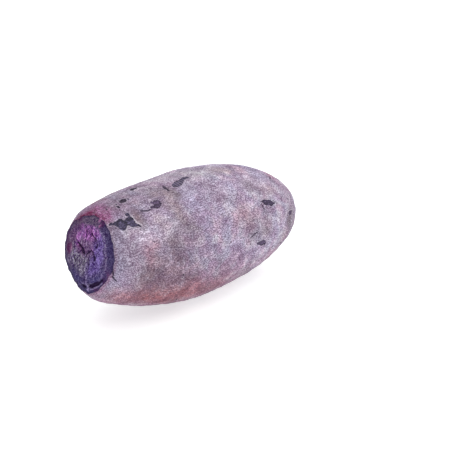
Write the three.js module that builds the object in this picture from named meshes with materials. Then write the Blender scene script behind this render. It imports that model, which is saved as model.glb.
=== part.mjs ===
import * as THREE from 'three';
import { mergeVertices } from 'three/addons/utils/BufferGeometryUtils.js';

// A purple yam lying on its side. Millimetres, +Z up.
// Its long axis runs along X, from the dried cut at -X to the root end at +X.
// "along" is the distance from the cut. "around" is the angle about the long axis in degrees:
// 0 on top, 90 on the -Y side, 180 underneath and 270 on the +Y side.

// Body
const thickness = 68; // across the fullest section
const fullestAt = 72.5; // from the cut to the fullest section
const cutSideReach = 84.2; // from the fullest section to where the cut end would have closed
const rootSideReach = 74.5; // from the fullest section to the root tip
const cutSidePower = 2.11; // 2 gives an ellipse, and more a blunter shoulder
const rootSidePower = 2.09;
const cutEndLift = 9.9; // how far each end bends away from a straight axis, up or towards +Y
const cutEndBow = -6;
const rootEndDrop = -0.4;
const rootEndBow = -5.4;
const restDepth = 1.1; // how far the underside is flattened where it rests

// Cut end
const cutLeanBack = 0.275; // the cut is set back by this much for each mm up
const cutLeanSide = -0.055; // and by this much for each mm towards +Y
const cutShapeReach = 50; // the cut's own outline fades into a round section over this length
const cutOutline = [
  { lobes: 1, upright: 0.075, aside: 0 }, // fuller at the top
  { lobes: 2, upright: 0.024, aside: -0.048 }, // a little taller than it is wide, and turned
  { lobes: 3, upright: -0.013, aside: 0.016 },
  { lobes: 4, upright: 0.015, aside: 0 }, // pointed underneath
  { lobes: 5, upright: 0, aside: 0.013 },
];
const rimReach = 4; // the ragged edge of the rim fades into the skin over this length
const rimTeeth = [
  { height: 0.2, lobes: 17, start: 60 },
  { height: 0.15, lobes: 29, start: 145 },
];

// Cut face, with places given across (+Y) and up (+Z) from its centre
const shoulderAt = 0.78; // where the flat of the flesh meets the sloping outer band, centre to rim
const shoulderRise = 0.07; // the band is narrower at the top and wider underneath by this much
const shoulderHeight = 1.8; // how far the flesh stands out past the rim
const shoulderTilt = -0.035; // and how much more for each mm across
const middleDish = 0.9; // how far the middle has sunk in drying
const rippleHeight = 0.18;
const rippleAcross = 7.5; // from one ripple to the next
const rippleUp = 12;
const rippleSlant = 0.4;
const rimKeep = 12; // the higher this power, the closer to the rim the carving and ripples reach
const hollows = [
  { name: 'crescent, lower end', across: -5.2, up: -13.5, length: 2.6, width: 1.2, turn: 150, depth: 2.0 },
  { name: 'crescent, middle', across: -8.7, up: -11.5, length: 2.8, width: 1.3, turn: 145, depth: 2.3 },
  { name: 'crescent, upper end', across: -12, up: -8.6, length: 2.6, width: 1.0, turn: 124, depth: 1.3 },
  { name: 'pit', across: -0.8, up: -14.8, length: 1.7, width: 1.0, turn: 170, depth: 1.5 },
  { name: 'long check', across: 5.5, up: 2.7, length: 3.6, width: 1.0, turn: 33, depth: 1.6 },
  { name: 'short check', across: -3.8, up: 1.3, length: 2.0, width: 0.9, turn: 38, depth: 1.2 },
  { name: 'upper check', across: -3.4, up: 8.8, length: 3.0, width: 0.8, turn: 44, depth: 1.0 },
];

// Skin relief
const swells = [
  { height: 0.2, lobes: 2, twist: 2.6, start: 34 }, // twist is in degrees for each mm along
  { height: 0.18, lobes: 3, twist: -3.4, start: 120 },
  { height: 0.13, lobes: 5, twist: 4.6, start: 229 },
  { height: 0.1, lobes: 7, twist: -6.3, start: 57 },
];
const dents = [
  { along: 27, around: 255, width: 7, depth: 1.0 },
  { along: 52, around: 310, width: 8, depth: 1.1 },
  { along: 63, around: 222, width: 7, depth: 0.9 },
  { along: 86, around: 268, width: 9, depth: 1.2 },
  { along: 108, around: 325, width: 7, depth: 1.0 },
  { along: 118, around: 238, width: 8, depth: 1.0 },
  { along: 103, around: 62, width: 8, depth: 1.0 },
  { along: 128, around: 20, width: 6, depth: 0.8 },
  { along: 122, around: 118, width: 7, depth: 0.9 },
  { along: 45, around: 140, width: 7, depth: 0.7 },
];
const furrows = [
  { from: 32, to: 122, around: 288, sway: 9, width: 5, depth: 0.9 },
  { from: 84, to: 140, around: 84, sway: -7, width: 4, depth: 0.8 },
];

// Root scar at the tip
const stubHeight = 1.6;
const stubRadius = 3;
const scarRadius = 8;
const scarDepth = 0.9;
const scarFolds = 9;
const foldHeight = 0.35;

// Grid of the surface
const columns = 90;
const faceRows = 12;
const bodyRows = 38;

const skinColour = 0xab99ac;
const skinRoughness = 0.82;

const halfThickness = thickness / 2;
const bodyLength = fullestAt + rootSideReach;

const { abs, cos, exp, hypot, max, min, PI, sin, sqrt } = Math;
const { degToRad, euclideanModulo, smoothstep } = THREE.MathUtils;

function bell(distance, width) {
  return exp(-((distance / width) ** 2));
}

// Radius of the plain section: a superellipse on each side of the fullest section
function sectionRadius(along) {
  const past = along - fullestAt;
  const reach = past < 0 ? cutSideReach : rootSideReach;
  const power = past < 0 ? cutSidePower : rootSidePower;
  return halfThickness * sqrt(max(0, 1 - abs(past / reach) ** power));
}

// The cut's outline, as a share added to the radius
function outlineShare(around) {
  const angle = degToRad(around);
  return cutOutline.reduce(
    (sum, term) => sum + term.upright * cos(term.lobes * angle) + term.aside * sin(term.lobes * angle),
    0,
  );
}

// Low waves that run round the yam, and wind along it where they have a twist
function waveHeight(waves, along, around) {
  return waves.reduce((sum, wave) => {
    const phase = wave.lobes * around + (wave.twist ?? 0) * along + wave.start;
    return sum + wave.height * cos(degToRad(phase));
  }, 0);
}

// The shorter way round between two angles, as a length on the skin
function arcBetween(around, place, radius) {
  const turn = euclideanModulo(around - place + 180, 360) - 180;
  return degToRad(turn) * radius;
}

function dentDepth(along, around, radius) {
  return dents.reduce((sum, dent) => {
    const away = hypot(along - dent.along, arcBetween(around, dent.around, radius));
    return sum + dent.depth * bell(away, dent.width / 2);
  }, 0);
}

function furrowDepth(along, around, radius) {
  return furrows.reduce((sum, furrow) => {
    const share = min(1, max(0, (along - furrow.from) / (furrow.to - furrow.from)));
    const place = furrow.around + furrow.sway * sin(2 * PI * share);
    const away = arcBetween(around, place, radius);
    return sum + furrow.depth * sin(PI * share) * bell(away, furrow.width / 2);
  }, 0);
}

// How far the tip stands out, at a distance from the long axis
function scarRelief(around, radius) {
  const stub = stubHeight * exp(-((radius / stubRadius) ** 4));
  const ring = scarDepth * bell(radius - scarRadius, scarRadius / 2);
  const reach = (radius / scarRadius) ** 2;
  const folds = foldHeight * reach * exp(1 - reach) * sin(degToRad(scarFolds * around));
  return stub - ring + folds;
}

// A point of the skin
function skinPoint(along, around) {
  const plain = sectionRadius(along);
  const angle = degToRad(around);
  const nearCut = max(0, 1 - along / cutShapeReach) ** 2;
  const nearRim = max(0, 1 - along / rimReach) ** 2;
  const relief =
    waveHeight(swells, along, around) -
    dentDepth(along, around, plain) -
    furrowDepth(along, around, plain);
  const radius =
    plain * (1 + nearCut * outlineShare(around)) +
    (relief * plain) / halfThickness +
    nearRim * waveHeight(rimTeeth, 0, around);
  const across = -radius * sin(angle);
  const up = radius * cos(angle);
  const cutBend = max(0, 1 - along / fullestAt) ** 2;
  const rootBend = max(0, (along - fullestAt) / rootSideReach) ** 2;
  const tipShare = smoothstep(along, fullestAt, bodyLength);
  return new THREE.Vector3(
    along + nearCut * (cutLeanSide * across + cutLeanBack * up) + tipShare * scarRelief(around, plain),
    across + cutEndBow * cutBend + rootEndBow * rootBend,
    up + cutEndLift * cutBend + rootEndDrop * rootBend,
  );
}

// How far the cut face stands out past the plane of the rim
function faceRelief(share, around, across, up) {
  const shoulder = shoulderAt + shoulderRise * cos(degToRad(around));
  const slope = 1 - smoothstep(share, shoulder, 1);
  const dish = middleDish * max(0, 1 - (share / shoulder) ** 2);
  const ripple =
    rippleHeight *
    sin((2 * PI * (across + rippleSlant * up)) / rippleAcross) *
    cos((2 * PI * up) / rippleUp);
  const carved = hollows.reduce((sum, hollow) => {
    const angle = degToRad(hollow.turn);
    const east = across - hollow.across;
    const north = up - hollow.up;
    const lengthwise = (east * cos(angle) + north * sin(angle)) / hollow.length;
    const crosswise = (north * cos(angle) - east * sin(angle)) / hollow.width;
    return sum + hollow.depth * exp(-(lengthwise ** 2) - crosswise ** 2);
  }, 0);
  const height = shoulderHeight + shoulderTilt * across;
  return height * slope - dish + (ripple - carved) * (1 - share ** rimKeep);
}

// A point of the cut face, on the straight line from its centre to the rim
function facePoint(share, around) {
  const centre = new THREE.Vector3(0, cutEndBow, cutEndLift);
  const spoke = skinPoint(0, around).sub(centre).multiplyScalar(share);
  const relief = faceRelief(share, around, spoke.y, spoke.z);
  return spoke.add(centre).add(new THREE.Vector3(-relief, 0, 0));
}

// Rows run from the middle of the cut face out to the rim, and on along the skin to the root tip
function surfacePoint(turnShare, rowShare) {
  const around = 180 - 360 * turnShare;
  const row = rowShare * (faceRows + bodyRows);
  if (row <= faceRows) {
    return facePoint(row / faceRows, around);
  }
  const along = bodyLength * sin(((row - faceRows) / bodyRows) * (PI / 2));
  return skinPoint(along, around);
}

// A sphere's closed grid, with each of its points moved to its own place on the yam
function yamGeometry() {
  const geometry = new THREE.SphereGeometry(1, columns, faceRows + bodyRows);
  const { position, uv } = geometry.attributes;
  const lastRow = faceRows + bodyRows;
  for (let index = 0; index < position.count; index += 1) {
    const row = Math.floor(index / (columns + 1));
    const atPole = row === 0 || row === lastRow;
    const point = surfacePoint(atPole ? 0 : uv.getX(index), row / lastRow);
    position.setXYZ(index, point.x, point.y, point.z);
  }
  geometry.deleteAttribute('normal');
  geometry.deleteAttribute('uv');
  const closed = mergeVertices(geometry);
  standOnGround(closed);
  closed.computeVertexNormals();
  return closed;
}

// The origin is the middle of the bounding box's base, and the lowest part is pressed flat at z = 0
function standOnGround(geometry) {
  geometry.computeBoundingBox();
  const centre = geometry.boundingBox.getCenter(new THREE.Vector3());
  geometry.translate(-centre.x, -centre.y, -geometry.boundingBox.min.z - restDepth);
  const { position } = geometry.attributes;
  for (let index = 0; index < position.count; index += 1) {
    position.setZ(index, max(0, position.getZ(index)));
  }
}

const skin = new THREE.MeshStandardMaterial({ color: skinColour, roughness: skinRoughness, metalness: 0 });
const yam = new THREE.Mesh(yamGeometry(), skin);
yam.name = 'yam';

const part = new THREE.Group();
part.add(yam);

export default part;
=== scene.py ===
import math

import bpy
import numpy as np
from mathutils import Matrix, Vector


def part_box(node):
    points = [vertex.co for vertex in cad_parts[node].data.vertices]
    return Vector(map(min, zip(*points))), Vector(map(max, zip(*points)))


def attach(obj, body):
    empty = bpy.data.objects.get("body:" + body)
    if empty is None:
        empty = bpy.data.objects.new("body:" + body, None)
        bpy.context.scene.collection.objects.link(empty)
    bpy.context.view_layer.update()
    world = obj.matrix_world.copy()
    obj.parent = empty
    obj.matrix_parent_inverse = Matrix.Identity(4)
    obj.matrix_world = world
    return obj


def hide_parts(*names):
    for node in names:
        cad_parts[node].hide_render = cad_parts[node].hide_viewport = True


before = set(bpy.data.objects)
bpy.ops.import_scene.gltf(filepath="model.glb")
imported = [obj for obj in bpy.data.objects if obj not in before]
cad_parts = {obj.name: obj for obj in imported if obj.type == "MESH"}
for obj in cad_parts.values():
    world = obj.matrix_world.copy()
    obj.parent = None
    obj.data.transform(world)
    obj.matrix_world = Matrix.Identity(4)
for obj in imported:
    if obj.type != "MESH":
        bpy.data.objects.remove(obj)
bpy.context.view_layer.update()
yamLow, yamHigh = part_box("yam")
scene = bpy.context.scene
print("frame loaded, yam box in mm:", [round(1000 * side, 1) for side in yamHigh - yamLow])

# The surface is in millimetres until the mesh is made.
# "along" is the distance from the cut, "around" the angle in degrees: 0 on top, 90 on the -Y side,
# 180 underneath, 270 on the +Y side. On the cut, "across" is +Y and "up" is +Z from its centre.

yam = {
    "columns": 384,
    "faceRows": 50,
    "bodyRows": 208,
    "rowsCrowdTo": 1.6,  # above 1, the rows crowd towards the cut
    "thickness": 68,
    "fullestAt": 72.5,
    "reach": (84.2, 74.5),  # from there towards the cut, and towards the root
    "power": (2.11, 2.09),
    "cutBend": (-6, 9.9),  # across, up
    "rootBend": (-5.4, -0.4),
    "cutLean": (-0.055, 0.275),
    "cutShapeReach": 50,
    "cutOutline": [  # lobes, upright share, sideways share
        (1, 0.075, 0), (2, 0.024, -0.048), (3, -0.013, 0.016), (4, 0.015, 0), (5, 0, 0.013),
    ],
    "rimReach": 4,
    "rimTeeth": [(0.2, 17, 0, 60), (0.07, 29, 0, 145)],  # and swells: height, lobes, twist per mm, start
    "shoulderAt": 0.78,
    "shoulderRise": 0.07,
    "shoulderHeight": 1.8,
    "shoulderTilt": -0.035,
    "middleDish": 0.9,
    "ripple": (0.18, 7.5, 12, 0.4),  # height, length across, length up, slant
    "rimKeep": 12,
    "hollows": [  # across, up, length, width, turn, depth
        (-5.2, -13.5, 2.6, 1.2, 150, 2), (-8.7, -11.5, 2.8, 1.3, 145, 2.3), (-12, -8.6, 2.6, 1, 124, 1.3),
        (-0.8, -14.8, 1.7, 1, 170, 1.5), (5.5, 2.7, 3.6, 1, 33, 1.6), (-3.8, 1.3, 2, 0.9, 38, 1.2),
        (-3.4, 8.8, 3, 0.8, 44, 1),
    ],
    "swells": [(0.2, 2, 2.6, 34), (0.18, 3, -3.4, 120), (0.13, 5, 4.6, 229), (0.1, 7, -6.3, 57)],
    "dents": [  # along, around, width, depth
        (27, 255, 7, 1), (52, 310, 8, 1.1), (63, 222, 7, 0.9), (86, 268, 9, 1.2), (108, 325, 7, 1),
        (118, 238, 8, 1), (103, 62, 8, 1), (128, 20, 6, 0.8), (122, 118, 7, 0.9), (45, 140, 7, 0.7),
    ],
    "furrows": [  # from, to, around, sway, width, depth
        (32, 122, 288, 9, 5, 0.9), (84, 140, 84, -7, 4, 0.8),
    ],
    "stubHeight": 1.6,
    "stubRadius": 3,
    "scarRadius": 8,
    "scarDepth": 0.9,
    "scarFolds": 9,
    "foldHeight": 0.35,
}
halfThickness = yam["thickness"] / 2
farOff = 99.0  # mm, where nothing is near
bodyLength = yam["fullestAt"] + yam["reach"][1]


# exp(-(distance / width) squared)
def bell(distance, width):
    return np.exp(-((distance / width) ** 2))


# 0 below low and 1 above high, with 3t2 - 2t3 between them
def smooth(value, low, high):
    t = np.clip((value - low) / (high - low), 0, 1)
    return t * t * (3 - 2 * t)


# Radius of the plain section:
# half thickness x sqrt(1 - |distance from the fullest section / reach| ^ power)
def sectionRadius(along):
    past = along - yam["fullestAt"]
    reach = np.where(past < 0, *yam["reach"])
    power = np.where(past < 0, *yam["power"])
    return halfThickness * np.sqrt(np.maximum(0, 1 - np.abs(past / reach) ** power))


# Sum of height x cos(lobes x around + twist x along + start)
def waveHeight(waves, along, around):
    return sum(
        height * np.cos(np.radians(lobes * around + twist * along + start))
        for height, lobes, twist, start in waves
    )


# The shorter way round between two angles, as a length on a circle of that radius
def arcBetween(around, place, radius):
    return np.radians((around - place + 180) % 360 - 180) * radius


# Waves, less a bell for each dent and a swaying half-sine trough for each furrow
def skinRelief(along, around, radius):
    relief = waveHeight(yam["swells"], along, around)
    for atAlong, atAround, width, depth in yam["dents"]:
        away = np.hypot(along - atAlong, arcBetween(around, atAround, radius))
        relief = relief - depth * bell(away, width / 2)
    for start, end, atAround, sway, width, depth in yam["furrows"]:
        share = np.clip((along - start) / (end - start), 0, 1)
        away = arcBetween(around, atAround + sway * np.sin(2 * np.pi * share), radius)
        relief = relief - depth * np.sin(np.pi * share) * bell(away, width / 2)
    return relief


# Folds round the root tip: (radius / scar radius) squared x e to the 1 less that x sin(folds x around)
def tipFolds(radius, around):
    reach = (radius / yam["scarRadius"]) ** 2
    return reach * np.exp(1 - reach) * np.sin(np.radians(yam["scarFolds"] * around))


# A point of the skin: a circle of the section's radius, shaped near the cut by its outline and teeth,
# raised by the relief, leant back with the cut, bent off the axis as the square of the way to each end,
# with a stub, a ring and folds at the root tip
def skinPoint(along, around):
    plain = sectionRadius(along)
    angle = np.radians(around)
    nearCut = np.maximum(0, 1 - along / yam["cutShapeReach"]) ** 2
    nearRim = np.maximum(0, 1 - along / yam["rimReach"]) ** 2
    outline = sum(
        upright * np.cos(lobes * angle) + aside * np.sin(lobes * angle)
        for lobes, upright, aside in yam["cutOutline"]
    )
    radius = (
        plain * (1 + nearCut * outline)
        + skinRelief(along, around, plain) * plain / halfThickness
        + nearRim * waveHeight(yam["rimTeeth"], 0, around)
    )
    across = -radius * np.sin(angle)
    up = radius * np.cos(angle)
    toCut = np.maximum(0, 1 - along / yam["fullestAt"]) ** 2
    toRoot = np.maximum(0, (along - yam["fullestAt"]) / yam["reach"][1]) ** 2
    tipShare = smooth(along, yam["fullestAt"], bodyLength)
    stub = yam["stubHeight"] * np.exp(-((plain / yam["stubRadius"]) ** 4))
    ring = yam["scarDepth"] * bell(plain - yam["scarRadius"], yam["scarRadius"] / 2)
    folds = yam["foldHeight"] * tipFolds(plain, around)
    lean = yam["cutLean"][0] * across + yam["cutLean"][1] * up
    return np.stack([
        along + nearCut * lean + tipShare * (stub - ring + folds),
        across + yam["cutBend"][0] * toCut + yam["rootBend"][0] * toRoot,
        up + yam["cutBend"][1] * toCut + yam["rootBend"][1] * toRoot,
    ], axis=-1)


# How far the cut face stands out: a plateau that slopes to the rim past its shoulder, less a dish in the
# middle and a stretched bell for each hollow, with a product of two waves for the ripples
def faceRelief(share, around, across, up):
    shoulder = yam["shoulderAt"] + yam["shoulderRise"] * np.cos(np.radians(around))
    slope = 1 - smooth(share, shoulder, 1)
    dish = yam["middleDish"] * np.maximum(0, 1 - (share / shoulder) ** 2)
    rippleHeight, lengthAcross, lengthUp, slant = yam["ripple"]
    ripple = rippleHeight * np.sin(2 * np.pi * (across + slant * up) / lengthAcross)
    ripple = ripple * np.cos(2 * np.pi * up / lengthUp)
    carved = 0
    for atAcross, atUp, length, width, turn, depth in yam["hollows"]:
        angle = math.radians(turn)
        east, north = across - atAcross, up - atUp
        lengthwise = (east * math.cos(angle) + north * math.sin(angle)) / length
        crosswise = (north * math.cos(angle) - east * math.sin(angle)) / width
        carved = carved + depth * np.exp(-(lengthwise**2) - crosswise**2)
    height = yam["shoulderHeight"] + yam["shoulderTilt"] * across
    return height * slope - dish + (ripple - carved) * (1 - share ** yam["rimKeep"])


# The whole surface on one grid: face rows from the middle of the cut to the rim, then rows along the skin
# at length x sin(90 degrees x row share ^ crowding) from the cut
def yamGrid():
    around = 180 - 360 * np.arange(yam["columns"]) / yam["columns"]
    share = np.arange(yam["faceRows"] + 1) / yam["faceRows"]
    rowShare = np.arange(1, yam["bodyRows"] + 1) / yam["bodyRows"]
    along = bodyLength * np.sin(rowShare ** yam["rowsCrowdTo"] * np.pi / 2)
    faceShare, faceAround = np.meshgrid(share, around, indexing="ij")
    skinAlong, skinAround = np.meshgrid(along, around, indexing="ij")
    centre = np.array([0, *yam["cutBend"]])
    spoke = (skinPoint(np.zeros_like(faceShare), faceAround) - centre) * faceShare[..., None]
    face = spoke + centre
    face[..., 0] -= faceRelief(faceShare, faceAround, spoke[..., 1], spoke[..., 2])
    rimRadius = np.hypot(spoke[-1, :, 1], spoke[-1, :, 2])
    onSkin = np.full(skinAlong.shape, farOff)
    return {
        "point": np.concatenate([face, skinPoint(skinAlong, skinAround)]),
        "along": np.concatenate([np.zeros_like(faceShare), skinAlong]),
        "around": np.concatenate([faceAround, skinAround]) % 360,
        "share": np.concatenate([faceShare, np.ones_like(skinAlong)]),
        "across": np.concatenate([spoke[..., 1], onSkin]),
        "up": np.concatenate([spoke[..., 2], onSkin]),
        "rimGap": np.concatenate([(faceShare - 1) * rimRadius, skinAlong]),  # negative on the face
    }


# Normals of the grid: the step down the rows x the step across the columns, made 1 long
def gridNormals(point):
    down = np.gradient(point, axis=0)
    over = (np.roll(point, -1, axis=1) - np.roll(point, 1, axis=1)) / 2
    normal = np.cross(down, over)
    normal /= np.maximum(np.linalg.norm(normal, axis=-1, keepdims=True), 1e-9)
    normal[0] = (-1, 0, 0)
    normal[-1] = (1, 0, 0)
    return normal


# Random relief with that height as its rms: the sum of sine waves of random direction, length and start
def tangled(point, height, seed, shortest, longest, stretch):
    count = finish["waves"]
    rng = np.random.default_rng(seed)
    direction = rng.normal(size=(count, 3))
    direction /= np.linalg.norm(direction, axis=1, keepdims=True)
    length = rng.uniform(shortest, longest, count)
    start = rng.uniform(0, 2 * np.pi, count)
    wave = direction * (2 * np.pi / length)[:, None]
    return height * (np.sin((point / np.array(stretch)) @ wave.T + start).sum(-1) / math.sqrt(count / 2))


# Marks on the skin: each has its place, then points as (mm towards the root, mm round towards -Y and
# down). Marks on the cut have points as (across, up).
marks = {}
marks["patches"] = [  # along, around, tone (0 mauve, 1 slate, 1.5 nearly black), outline
    (10.4, 36, 1, [
        (-9.5, -2.9), (-7.9, -3.1), (-6.6, -2.6), (-5.7, -3.1), (-3.7, -3.2), (-2.5, -3.3), (-1.3, -3),
        (-0.7, -1.7), (1, -2.1), (2.6, -2.3), (3.8, -3), (4.7, -2.7), (5.2, -1.9), (5.9, -1.2), (5.6, 0.4),
        (6, 1.8), (7.1, 2.6), (8.4, 4.1), (7.5, 4.3), (5.9, 3.1), (4.9, 3.3), (3.3, 3.1), (2.1, 2.3),
        (1.1, 1.4), (0.1, 1), (-0.8, 1.9), (-1.5, 2.8), (-2.9, 2.7), (-4.3, 2.3), (-4.7, 1.2),
        (-5.8, -0.4), (-7.3, -1.9), (-9.2, -2.3),
    ]),
    (14.1, 27.4, 1, [
        (-1.3, -0.9), (0.1, -1.5), (1, -1.1), (1.6, -0.6), (1.2, 0.8), (-0.2, 0.3), (-1.2, -0.1),
    ]),
    (19.4, 7.3, 1.7, [
        (-2.8, 0.1), (-1.9, -1), (-0.7, -0.9), (0.5, -1.5), (1.7, -1), (3, -1.2), (3.1, -0.2), (2.6, 0.8),
        (1.6, 1.6), (0.2, 1.3), (-1.4, 1), (-2.4, 0.7),
    ]),
    (13.1, 12.4, 1.5, [(-0.6, -1.4), (0.4, -0.8), (0.8, 0.6), (0.5, 1.2), (-0.8, 0.5)]),
    (36.3, 355.3, 1.4, [
        (-2.6, -0.4), (-0.8, -1.6), (1.4, -2.1), (3.2, -0.7), (1.8, 0.4), (0.1, 0.3), (-1.8, 0.8),
    ]),
    (35.3, 27.2, 0.6, [
        (-2, -2.3), (-0.6, -2.5), (0.5, -2), (1.7, -2.3), (3.5, -2.2), (4.1, -1.7), (4.3, -0.8), (3.9, 1),
        (2.8, 2), (0.9, 2.6), (-0.8, 2.6), (-2.3, 1.9), (-4, 1.4), (-4.3, 0.4), (-3.2, 0.2), (-2.2, 0.8),
        (-1, 0.6), (-0.4, -0.1), (-0.8, -0.7), (-1.8, -1.2),
    ]),
    (62.3, 10.8, 1.1, [
        (-7, 1.3), (-5.6, -0.2), (-3.8, -0.8), (-1.5, -1.8), (0.1, -1.9), (1.4, -1.9), (3, -2.4),
        (4.8, -3.1), (6.3, -2.8), (7.7, -2.2), (7.9, -0.6), (6.6, -0.8), (5, -0.8), (3.4, -0.4),
        (1.4, 1.1), (-0.4, 2.3), (-1.7, 2.9), (-3.3, 3.1), (-5.1, 3.2), (-6.6, 2.6),
    ]),
]
marks["dots"] = [  # along, around, radius, tone
    (17.6, 4.2, 0.5, 1.2), (23.9, 7.9, 0.6, 1.1), (13.9, 7.2, 0.45, 1.2), (6.9, 4.6, 0.4, 1),
    (39.4, 102, 0.55, 1.5), (39.2, 104.8, 0.45, 1.5), (53.4, 22, 0.5, 0.8), (41.5, 15, 0.4, 0.5),
]
marks["creases"] = [  # along, around, half width, line
    (27.3, 29.7, 0.5, [(-3, -0.9), (-1.6, -0.2), (-0.2, 0.3), (1.1, 0.5), (2.9, 0.5)]),
    (51.2, 14.3, 0.75, [(0.1, -2.5), (-0.1, -1.2), (0, 0.2), (-0.2, 1.1)]),
    (51.2, 13.4, 1.2, [(0.1, -1.7), (-0.1, -0.7)]),
    (1.5, 105, 0.4, [(-1.5, -2.6), (-1.4, -1.6), (-0.5, 0.1), (-0.2, 1.6), (2.2, 3.7)]),
]
marks["tornEdges"] = [  # the same, for the pale edge of torn skin
    (10, 36, 0.22, [(6.1, -2.4), (6.5, -1.4), (6.7, 0.1), (7.1, 1.5), (8.2, 2.5), (9.2, 3.4)]),
]
marks["cutCracks"] = [  # half width, line
    (0.4, [(8.6, 4.8), (7.3, 3.7), (5.8, 2.7), (3.6, 1.1), (2.4, 0.7)]),
    (0.7, [(5.4, 2.3), (3.6, 0.9)]),
    (0.5, [(-0.7, 11.2), (-2.3, 10), (-4.3, 8.8), (-5.2, 7.4), (-5.4, 5.8)]),
    (0.5, [(0.6, 1.2), (-0.5, 2.3), (-1.7, 3.2)]),
    (0.65, [(-2.7, 2.6), (-3.9, 1.4), (-4.9, -0.2)]),
    (0.16, [(1.1, 0.3), (2.4, -1.4), (2.2, -4.6)]),
    (0.16, [(-0.4, -0.5), (-1.8, -3.2), (-1.6, -7)]),
    (0.16, [(3.2, 12.6), (2.6, 9.4), (3.3, 6.6)]),
    (0.18, [(0.5, 13.1), (-0.3, 10.6), (0.4, 8.9)]),
    (0.16, [(9.8, -1.2), (7.8, -3.8), (7.1, -7)]),
    (0.35, [(-3.9, -14.3), (-6.4, -12.9), (-8.6, -11.7), (-10.4, -10.3), (-11.6, -8.9)]),
    (0.95, [(-5.2, -13.5), (-7.2, -12.4), (-8.8, -11.5)]),
    (0.7, [(-0.1, -14.6), (-0.9, -14.9)]),
]
marks["cutThreads"] = [  # the same, for pale ridges
    (0.4, [(-2.2, -9.3), (-2.9, -12.4), (-3.5, -15)]),
    (0.25, [(1.6, 0.6), (2.4, -2.2), (2, -5.4)]),
    (0.25, [(9.4, 1.2), (9, -1.4), (9.6, -3.2)]),
    (0.5, [(-3.2, -15.8), (-6.2, -14.7), (-9.2, -12.9), (-11.6, -10.7)]),
    (0.8, [(-3.3, -14.8), (-3.8, -15.8)]),
    (0.2, [(5.2, 13.4), (5.6, 10.4), (6.9, 7.8)]),
    (0.2, [(-2.9, 14.2), (-2.4, 12), (-3.2, 10.6)]),
]

# Soft-edged areas of other colour: along, around, half length, half width in mm, strength
zones = {}
zones["tan"] = [
    (48.5, 19, 4, 5, 0.8), (46.5, 33, 3.6, 6, 0.9), (45, 47, 3.6, 6, 0.8), (19.6, 34, 2.4, 3, 0.6),
    (31, 42, 4, 4, 0.6), (33, 51, 5, 4, 0.6), (12, 322, 8, 4, 0.8), (24, 334, 9, 3, 0.6),
    (91, 9, 6, 3.5, 0.8), (95.5, 15, 3, 3, 0.7),
]
zones["cool"] = [
    (7.9, 19.5, 3, 3.4, 1), (8, 20, 2.6, 3, 0.9), (56.5, 36, 8, 8, 0.7), (70, 24, 9, 7, 0.6),
    (3.3, 61, 3, 7, 0.5), (3.7, 89, 4, 8, 0.4), (5.2, 112, 5, 7, 0.6), (26, 77, 4, 4, 0.7),
    (30.7, 80, 4, 4, 0.7), (115, 24, 5, 4, 1),
]
# pale lilac areas, partly painted light: a lit strip along the top outline, and a lighter right end that
# faces away from the key
zones["paleAndPaintedLight"] = [
    (20, 59, 11, 6, 0.6), (34, 43, 5, 5, 0.6), (28, 51, 6, 5, 0.4), (6, 66, 3, 3, 0.3),
    (31, 49, 3, 4, 0.5), (25, 79, 3, 3, 0.5), (34, 61, 3, 4, 0.6), (8.3, 93, 3, 9, 0.5),
    (5, 72, 2, 2.5, 0.6), (78, 31, 7, 6, 0.6), (29, 31, 3, 3, 0.5), (112, 38, 14, 9, 0.5),
    (98, 34, 8, 4, 0.5), (14.5, 65, 3, 6, 0.6), (68, 350, 6, 3, 0.8), (40.7, 3.3, 4, 4, 0.5),
    (58.8, 358, 4, 4, 0.4), (62.6, 4, 3, 3, 0.4), (60, 22, 4, 4, 0.5), (82, 36, 4, 4, 0.5),
    (72, 43, 4, 4, 0.5), (30, 34, 2.5, 3, 0.4), (29.6, 64, 3, 3, 0.5), (10.3, 94, 3, 3, 0.5),
    (103, 31, 4, 4, 0.6), (75, 19, 3, 3, 0.5), (101, 356, 6, 3, 0.8), (84, 350, 5, 3, 0.5),
]
zones["silver"] = [
    (78, 3, 13, 8, 1), (88, 13, 8, 5, 0.4), (60, 350, 12, 6, 0.7), (43, 5, 5, 5, 0.8),
    (36, 358, 4, 4, 0.5),
]
zones["rosy"] = [
    (17.8, 72, 3.5, 4, 0.8), (19.5, 86, 4, 4, 0.8), (22, 120, 5, 6, 0.7), (25, 13, 5, 4, 0.3),
    (8.8, 16, 4, 4, 0.5), (41.5, 15, 2.5, 2.5, 0.4), (23.3, 67, 4, 4, 0.8),
]
# darker mauve-grey areas, several in a thin strip just past the rim
zones["darkMauveGrey"] = [
    (41.3, 15.7, 5, 3.4, 1), (19, 38, 3, 3, 0.6), (20, 8, 12, 9, 0.9), (37, 20, 11, 7, 0.9),
    (49, 18, 6, 6, 0.9), (26, 352, 14, 8, 0.5), (21, 28, 6, 6, 0.7), (19, 41, 3.5, 4, 0.9),
    (7, 22, 6, 6, 0.7), (5, 340, 7, 8, 0.6), (97, 0, 10, 5, 0.3), (2, 58, 2.5, 9, 0.9),
    (2, 96, 3, 12, 0.7), (12, 42, 5, 3, 0.5), (20, 41, 3, 4, 0.7), (49, 25, 5, 5, 1), (40, 31, 4, 4, 0.5),
    (95, 8, 12, 8, 0.4), (9.5, 72, 2.5, 5, 0.7), (16.5, 29, 3, 4, 0.9), (40, 16, 3.5, 3.5, 1),
    (50.5, 12, 3, 4, 0.4), (19, 21, 3, 3, 0.6), (2, 24, 2.5, 3, 0.6), (18, 101, 3.5, 4, 0.7),
    (11, 359, 3.5, 3.5, 0.6), (28.5, 8, 5, 3, 0.8), (35, 14, 5, 3, 0.4), (6, 54, 2.5, 3, 0.6),
    (2.6, 60, 2, 5, 0.8), (41.2, 48, 4, 4, 0.4), (1.8, 52, 2, 4, 0.8), (2, 101, 2, 4, 0.6),
    (5, 81, 3, 4, 0.6), (20, 49, 3, 3, 0.4), (3.2, 95, 2, 3, 0.4), (115, 24, 5, 4, 0.6),
]
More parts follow.
